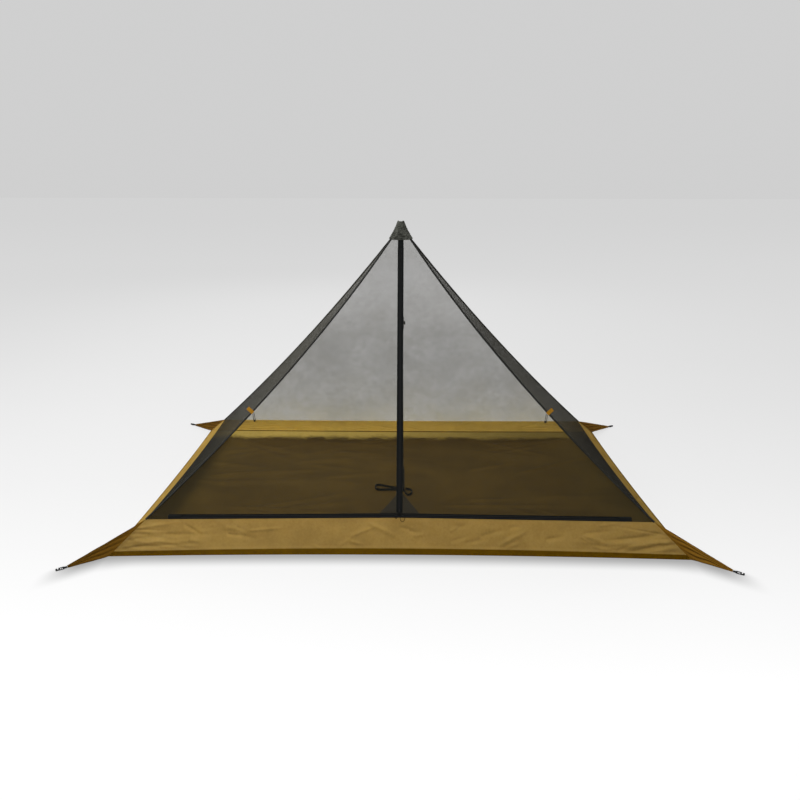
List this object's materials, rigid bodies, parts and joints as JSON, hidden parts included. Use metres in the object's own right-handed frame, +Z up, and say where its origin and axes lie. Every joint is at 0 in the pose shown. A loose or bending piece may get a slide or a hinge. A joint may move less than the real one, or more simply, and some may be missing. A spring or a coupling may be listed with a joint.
{
  "type": "pyramid mesh inner tent",
  "caption": "Pyramid inner tent of insect mesh on one central pole, with a bathtub floor, a zipped door at the front, a peak cap and pleated tie-out corners with buckles and hooks.",
  "frame": {"origin": "on the ground under the peak, at the centre of the floor's underside", "axes": "+Z up, +X to the right of someone who looks at the door, -Y towards them"},
  "size_m": [2.7274, 1.6382, 1.303],
  "materials": {
    "binding": "black seam binding",
    "cap_cloth": "dark grey crinkled cloth",
    "carbon": "black composite tube",
    "elastic": "black elastic cord",
    "grip_foam": "black foam grip",
    "ground_cloth": "coated floor cloth, olive brown",
    "gusset_cloth": "coated cloth, darker tan",
    "mesh": "fine black insect mesh, see-through",
    "moulded": "black acetal",
    "patch_cloth": "brown grey patch",
    "tie_tape": "orange tape",
    "tip_metal": "plain steel",
    "wall_cloth": "coated wall cloth, tan gold, slight sheen",
    "webbing": "black webbing and cord",
    "zip_metal": "black zip slider",
    "zip_tape": "black zip tape and coil"
  },
  "bodies": {
    "tent": {"floor": "ground_cloth", "floor_patch": "patch_cloth", "front_top_panel": "mesh", "front_wall": "wall_cloth", "gusset_front_left": "gusset_cloth", "gusset_front_right": "gusset_cloth", "gusset_rear_left": "gusset_cloth", "gusset_rear_right": "gusset_cloth", "left_front_margin": "mesh", "left_mesh": "mesh", "left_wall": "wall_cloth", "peak_cap": "cap_cloth", "pole_grip": "grip_foam", "pole_lock_clamp": "moulded", "pole_lock_pin": "tip_metal", "pole_outer_tube": "carbon", "rear_mesh": "mesh", "rear_wall": "wall_cloth", "ridge_front_left": "binding", "ridge_front_right": "binding", "ridge_rear_left": "binding", "ridge_rear_right": "binding", "right_front_margin": "mesh", "right_mesh": "mesh", "right_wall": "wall_cloth", "sill_zip_lower": "zip_tape", "tie_loop_left": "elastic", "tie_loop_right": "elastic", "tie_tab_left": "tie_tape", "tie_tab_right": "tie_tape", "tie_toggle_left": "moulded", "tie_toggle_right": "moulded", "webbing_front_left": "webbing", "webbing_front_right": "webbing", "webbing_rear_left": "webbing", "webbing_rear_right": "webbing", "wrist_strap": "webbing"},
    "left_door": {"left_door": "mesh", "left_door_zip": "zip_tape", "left_sill_zip": "zip_tape"},
    "right_door": {"right_door": "mesh", "right_door_zip": "zip_tape", "right_sill_zip": "zip_tape"},
    "door_slider": {"door_slider": "zip_metal"},
    "door_pull": {"door_pull": "webbing"},
    "left_sill_slider": {"left_sill_slider": "zip_metal"},
    "left_sill_pull": {"left_sill_pull": "webbing"},
    "right_sill_slider": {"right_sill_slider": "zip_metal"},
    "right_sill_pull": {"right_sill_pull": "webbing"},
    "pole_inner": {"pole_inner_tube": "carbon", "pole_tip": "tip_metal"},
    "pole_lock_lever": {"pole_lock_lever": "moulded"},
    "buckle_front_left": {"buckle_front_left": "moulded"},
    "hook_front_left": {"hook_front_left": "moulded"},
    "buckle_front_right": {"buckle_front_right": "moulded"},
    "hook_front_right": {"hook_front_right": "moulded"},
    "buckle_rear_left": {"buckle_rear_left": "moulded"},
    "hook_rear_left": {"hook_rear_left": "moulded"},
    "buckle_rear_right": {"buckle_rear_right": "moulded"},
    "hook_rear_right": {"hook_rear_right": "moulded"}
  },
  "joints": [
    {"name": "left_door_hinge", "type": "hinge", "parent": "tent", "child": "left_door", "pos_m": [-0.91195, -0.59322, 0.13109], "axis": [-0.5899, -0.3706, -0.7174], "range_deg": [0, 165]},
    {"name": "right_door_hinge", "type": "hinge", "parent": "tent", "child": "right_door", "pos_m": [0.91195, -0.59322, 0.13109], "axis": [-0.5899, 0.3706, 0.7174], "range_deg": [0, 165]},
    {"name": "door_slider_travel", "type": "slide", "parent": "tent", "child": "door_slider", "axis": [0, 0.4442, 0.8959], "range_m": [0, 1.12]},
    {"name": "door_pull_swing", "type": "hinge", "parent": "door_slider", "child": "door_pull", "pos_m": [0, -0.57063, 0.1378], "axis": [-1, 0, 0], "range_deg": [0, 150]},
    {"name": "left_sill_slider_travel", "type": "slide", "parent": "tent", "child": "left_sill_slider", "axis": [-0.9997, -0.0233, 0], "range_m": [0, 0.855]},
    {"name": "left_sill_pull_swing", "type": "hinge", "parent": "left_sill_slider", "child": "left_sill_pull", "pos_m": [-0.01342, -0.57794, 0.12367], "axis": [-1, 0, 0], "range_deg": [0, 150]},
    {"name": "right_sill_slider_travel", "type": "slide", "parent": "tent", "child": "right_sill_slider", "axis": [0.9997, -0.0233, 0], "range_m": [0, 0.855]},
    {"name": "right_sill_pull_swing", "type": "hinge", "parent": "right_sill_slider", "child": "right_sill_pull", "pos_m": [0.01342, -0.57794, 0.12367], "axis": [-1, 0, 0], "range_deg": [0, 150]},
    {"name": "pole_telescope", "type": "slide", "parent": "tent", "child": "pole_inner", "axis": [0.007, -0.0734, -0.9973], "range_m": [0, 0.3]},
    {"name": "pole_lock_lever_swing", "type": "hinge", "parent": "tent", "child": "pole_lock_lever", "pos_m": [0.01893, -0.03308, 0.84311], "axis": [0.007, -0.0734, -0.9973], "range_deg": [0, 135]},
    {"name": "buckle_front_left_swing", "type": "hinge", "parent": "tent", "child": "buckle_front_left", "pos_m": [-1.33771, -0.80017, 0.0046], "axis": [-0.5478, 0.8366, 0], "range_deg": [0, 80]},
    {"name": "hook_front_left_swing", "type": "hinge", "parent": "buckle_front_left", "child": "hook_front_left", "pos_m": [-1.35093, -0.80882, 0.0046], "axis": [-0.5478, 0.8366, 0], "range_deg": [0, 80]},
    {"name": "buckle_front_right_swing", "type": "hinge", "parent": "tent", "child": "buckle_front_right", "pos_m": [1.33771, -0.80017, 0.0046], "axis": [-0.5478, -0.8366, 0], "range_deg": [0, 80]},
    {"name": "hook_front_right_swing", "type": "hinge", "parent": "buckle_front_right", "child": "hook_front_right", "pos_m": [1.35093, -0.80882, 0.0046], "axis": [-0.5478, -0.8366, 0], "range_deg": [0, 80]},
    {"name": "buckle_rear_left_swing", "type": "hinge", "parent": "tent", "child": "buckle_rear_left", "pos_m": [-1.33771, 0.80017, 0.0046], "axis": [0.5478, 0.8366, 0], "range_deg": [0, 80]},
    {"name": "hook_rear_left_swing", "type": "hinge", "parent": "buckle_rear_left", "child": "hook_rear_left", "pos_m": [-1.35093, 0.80882, 0.0046], "axis": [0.5478, 0.8366, 0], "range_deg": [0, 80]},
    {"name": "buckle_rear_right_swing", "type": "hinge", "parent": "tent", "child": "buckle_rear_right", "pos_m": [1.33771, 0.80017, 0.0046], "axis": [0.5478, -0.8366, 0], "range_deg": [0, 80]},
    {"name": "hook_rear_right_swing", "type": "hinge", "parent": "buckle_rear_right", "child": "hook_rear_right", "pos_m": [1.35093, 0.80882, 0.0046], "axis": [0.5478, -0.8366, 0], "range_deg": [0, 80]}
  ]
}
